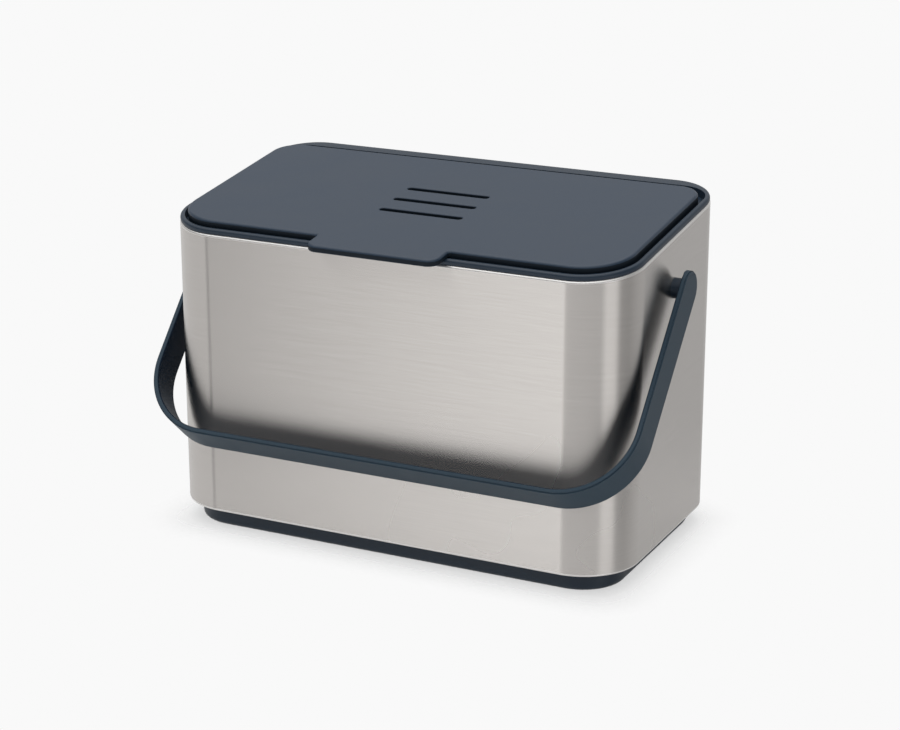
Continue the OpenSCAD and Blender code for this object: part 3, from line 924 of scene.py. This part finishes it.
def rolled_edge():
    """The rolled edges get a paler colour, a painted highlight that draws a thin bright line."""
    edge = finish_named("rolled_edge")
    uneven_highlight = edge.noise(60)
    colour = edge.blend_colours(uneven_highlight, (0.80, 0.78, 0.76, 1), (0.95, 0.93, 0.91, 1))
    edge.surface(Base_Color=colour, Metallic=1, Roughness=0.34 + uneven_highlight * 0.1)
    return edge


paint(shell, brushed_steel())
shell.data.materials.append(rolled_edge().owner)
# The faces of the rolled top and bottom edges take the paler finish, a painted highlight.
upper_half, lower_edge, least_lean = 0.1, plinth_top + 2 * mm, 0.12
for face in shell.data.polygons:
    near_edge = face.center.z > upper_half or face.center.z < lower_edge
    if near_edge and least_lean < abs(face.normal.z) < flat_enough:
        face.material_index = 1

# %% [markdown]
# ## Plastics and rubber
# The mouldings are slate and charcoal with a fine spark-eroded grain, which shows as a soft sheen and
# a slight mottle. One function makes them all, from a colour, a gloss and the size of the grain. The
# walls of the lid get a darker, duller finish of their own, as painted shade for the deep groove round
# the lid. The inner face of the strap is a darker core plastic, with a finish of its own too.

# %% Moulded plastics
def moulded(name, colour, gloss, grain=2600, relief=0.012 * mm, mottle=0.12, sheen=0.5):
    plastic = finish_named(name)
    fine = plastic.noise(grain, detail=2, roughness=0.6)
    cloud = plastic.noise(28)
    mix = 0.5 + (fine - 0.5) * 0.5 + (cloud - 0.5) * 0.7
    tone = plastic.node("ShaderNodeClamp", inputs={"Value": mix})
    dark = tuple(c * (1 - mottle) for c in colour) + (1,)
    pale = tuple(c * (1 + mottle) for c in colour) + (1,)
    plastic.surface(Base_Color=plastic.blend_colours(tone, dark, pale),
                    Roughness=gloss + (cloud - 0.5) * 0.08 + (fine - 0.5) * 0.06,
                    Specular_IOR_Level=sheen, Normal=plastic.bump(fine, relief, 0.6))
    return plastic


slate = moulded("slate_plastic", (0.010, 0.028, 0.056), 0.40)
# Painted shade: the lid's walls are darker than its top, for the deep groove round the lid.
slate_wall = moulded("slate_wall", (0.009, 0.015, 0.023), 0.5, sheen=0.15)
charcoal = moulded("charcoal_plastic", (0.012, 0.026, 0.046), 0.40, sheen=0.4)
grip = moulded("grip_plastic", (0.025, 0.048, 0.071), 0.45, sheen=0.2)
core = moulded("strap_core", (0.007, 0.016, 0.031), 0.5, sheen=0.1)
tub_grey = moulded("tub_plastic", (0.055, 0.060, 0.066), 0.38)
soft_black = moulded("pad_rubber", (0.018, 0.018, 0.019), 0.75, grain=1500, relief=0.03 * mm)
soft_grey = moulded("seal_rubber", (0.12, 0.125, 0.13), 0.6, grain=1800)

# %% The mouldings get their plastics
paint(collar, charcoal)
paint(lid, slate)
# The lid's walls take the darker finish, painted shade for the groove they stand in.
lid.data.materials.append(slate_wall.owner)
lid_wall_tilt = 0.35
for face in lid.data.polygons:
    if abs(face.normal.dot(slope_up)) < lid_wall_tilt:
        face.material_index = 1

paint(handle, grip)
handle.data.materials.append(core.owner)
unhung, turned_back = hanging.inverted(), hanging.to_3x3().transposed()
inner_face = -60 * mm
for face in handle.data.polygons:
    spot = unhung @ face.center
    if (turned_back @ face.normal).dot(Vector((spot.x, 0, spot.z))) < inner_face:
        face.material_index = 1

paint(bucket, tub_grey)
paint(nodes["base_tray"], charcoal)
paint(nodes["filter_cover"], slate)
paint(nodes["lid_seal"], soft_grey)
for side in ("left", "right"):
    paint(nodes["pivot_bush_" + side], charcoal)
    for end in ("front", "rear"):
        paint(nodes["foot_" + end + "_" + side], soft_black)

# %% [markdown]
# ## Fleece and drawn steel
# The filter is a mat of carbon fibres: black, dull and rough, with fine noise as its pile. Pins,
# washers and clips are cut from drawn wire and strip, so noise is stretched along the wire.

# %% Filter fleece and drawn steel
def carbon_fleece():
    fleece = finish_named("carbon_fleece")
    fibres = fleece.noise(900, detail=6, roughness=0.75, stretch=(1, 1, 0.4))
    colour = fleece.blend_colours(fibres, (0.006, 0.006, 0.007, 1), (0.045, 0.045, 0.048, 1))
    fleece.surface(Base_Color=colour, Roughness=0.95, Normal=fleece.bump(fibres, 0.5 * mm))
    return fleece


def drawn_steel():
    steel = finish_named("drawn_steel")
    lines = steel.noise(1, stretch=(60, 3000, 3000))
    colour = steel.blend_colours(lines, (0.46, 0.46, 0.47, 1), (0.68, 0.68, 0.69, 1))
    steel.surface(Base_Color=colour, Metallic=1, Roughness=0.2 + lines * 0.16,
                  Normal=steel.bump(lines, 0.01 * mm))
    return steel


paint(nodes["filter_pad"], carbon_fleece())
bright = drawn_steel()
for side in ("left", "right"):
    for name in ("hinge_pin_", "pivot_pin_", "pivot_washer_", "pivot_clip_"):
        paint(nodes[name + side], bright)

# %% [markdown]
# ## The studio
# The caddy stands on a white floor that fades into a white background, in the light of a big soft
# room. The world holds three rings of tones, by the turn from the back through the left, the front and
# the right to the back again: one below the horizon, where the steel looks and finds its soft bands,
# one above it, where the plastics look, and a ceiling that the sloping lid mirrors. One large lamp from
# above on the left gives the shapes a direction and a faint shadow.

# %% The world
background = 0.947
low_tones = ((0, 0.55), (0.05, 0.9), (0.09, 0.72), (0.388, 0.8), (0.396, 0.12), (0.404, 0.54),
             (0.4165, 0.92), (0.424, 1.25), (0.432, 1.33), (0.446, 1.33), (0.456, 0.74), (0.642, 0.68),
             (0.672, 1.08), (0.72, 1.08), (0.75, 0.5), (0.8, 0.41), (0.87, 0.5), (1, 0.55))
high_tones = ((0, 0.62), (0.16, 0.58), (0.27, 0.3), (0.34, 0.16), (0.66, 0.14), (0.78, 0.16),
              (0.88, 0.5), (1, 0.62))
ceiling_tones = ((0, 0.8), (0.15, 0.8), (0.35, 1.5), (0.6, 1.5), (0.75, 0.8), (1, 0.8))


def make_world():
    world = Finish(bpy.context.scene.world or bpy.data.worlds.new("studio"))
    bpy.context.scene.world = world.owner
    world.tree.nodes.clear()
    direction = world.node("ShaderNodeTexCoord", output="Generated")
    apart = world.tree.nodes.new("ShaderNodeSeparateXYZ")
    world.connect(direction, apart.inputs[0])
    x, y, z = (Field(world, apart.outputs[axis]) for axis in range(3))
    turn = world.node("ShaderNodeMath", {"operation": "ARCTAN2"}, {0: x, 1: 0 - y}) / (2 * pi) + 0.5

    def ring(stops):
        """The tones of one ring, round the room."""
        return world.node("ShaderNodeValToRGB", {"stops": stops}, {0: turn})

    def rise(value, start, end):
        """Rises softly from 0 to 1 as a value goes from a start to an end."""
        return world.node("ShaderNodeMapRange", {"interpolation_type": "SMOOTHSTEP"},
                          {"Value": value, "From Min": start, "From Max": end})

    room = world.blend_colours(rise(z, -0.05, 0.12), ring(low_tones), ring(high_tones))
    lift = rise(y, -0.2, 0.4) * 0.2
    room = world.blend_colours(rise(z, 0.45 + lift, 0.65 + lift), room, ring(ceiling_tones))
    seen = world.node("ShaderNodeLightPath", output="Is Camera Ray")
    colour = world.blend_colours(seen, room, (background, background, background, 1))
    out = world.node("ShaderNodeBackground", inputs={"Color": colour, "Strength": 1})
    world.tree.links.new(out.socket, world.tree.nodes.new("ShaderNodeOutputWorld").inputs[0])


make_world()

# %% [markdown]
# ## The floor and the lamp
# The floor is a wide white disc that is clear further off, so that it has no edge against the
# background. How far it stays solid depends on what looks at it: the camera sees it only faintly and
# close to the caddy, where the shadow lies, the steel mirrors it a little further out, and the light
# that it throws back up comes from further still.

# %% The floor
floor_r = 3.0
foot_half = (0.118, 0.057, 0)


def make_floor():
    bpy.ops.mesh.primitive_circle_add(vertices=128, radius=floor_r, fill_type="NGON",
                                      location=(0, 0, 0))
    floor = bpy.context.object
    floor.name = "studio_floor"
    plain = finish_named("white_floor")
    plain.surface(Base_Color=(0.93, 0.93, 0.93, 1), Roughness=0.9, Specular_IOR_Level=0)

    def vector(operation, inputs, output=0):
        return plain.node("ShaderNodeVectorMath", {"operation": operation}, inputs, output)

    where = plain.node("ShaderNodeTexCoord", output="Object")
    outside = vector("SUBTRACT", {0: vector("ABSOLUTE", {0: where}), 1: foot_half})
    off = vector("LENGTH", {0: vector("MAXIMUM", {0: outside, 1: (0, 0, 0)})}, output="Value")

    def within(low, high):
        """1 close to the caddy's foot and 0 further off, between two distances from it."""
        return plain.node("ShaderNodeMapRange", {"interpolation_type": "SMOOTHSTEP"},
                          {"Value": off, "From Min": low, "From Max": high, "To Min": 1, "To Max": 0})

    seen = plain.node("ShaderNodeLightPath", output="Is Camera Ray")
    mirrored = plain.node("ShaderNodeLightPath", output="Is Glossy Ray")
    kept = (within(0.005, 0.04) * seen * 0.4 + within(0.03, 0.17) * mirrored * 0.3
            + within(0.1, 0.35) * (1 - seen) * (1 - mirrored))
    clear = plain.node("ShaderNodeBsdfTransparent")
    solid = Field(plain, plain.tree.nodes["Principled BSDF"].outputs[0])
    mixed = plain.node("ShaderNodeMixShader", inputs={0: kept, 1: clear, 2: solid})
    plain.tree.links.new(mixed.socket, plain.tree.nodes["Material Output"].inputs[0])
    paint(floor, plain)


make_floor()

# %% The lamp
lamp_place, lamp_aim, lamp_width, lamp_power = (-0.3, 0.4, 1.8), (0, 0, 0.1), 1.6, 9


def make_lamp():
    bpy.ops.object.light_add(type="AREA", location=lamp_place)
    light = bpy.context.object
    light.name = "key_lamp"
    light.data.shape = "RECTANGLE"
    light.data.size = light.data.size_y = lamp_width
    light.data.energy = lamp_power
    light.rotation_euler = (Vector(lamp_place) - Vector(lamp_aim)).to_track_quat("Z", "Y").to_euler()


make_lamp()

# %% Colours as written
bpy.context.scene.view_settings.view_transform = "Standard"
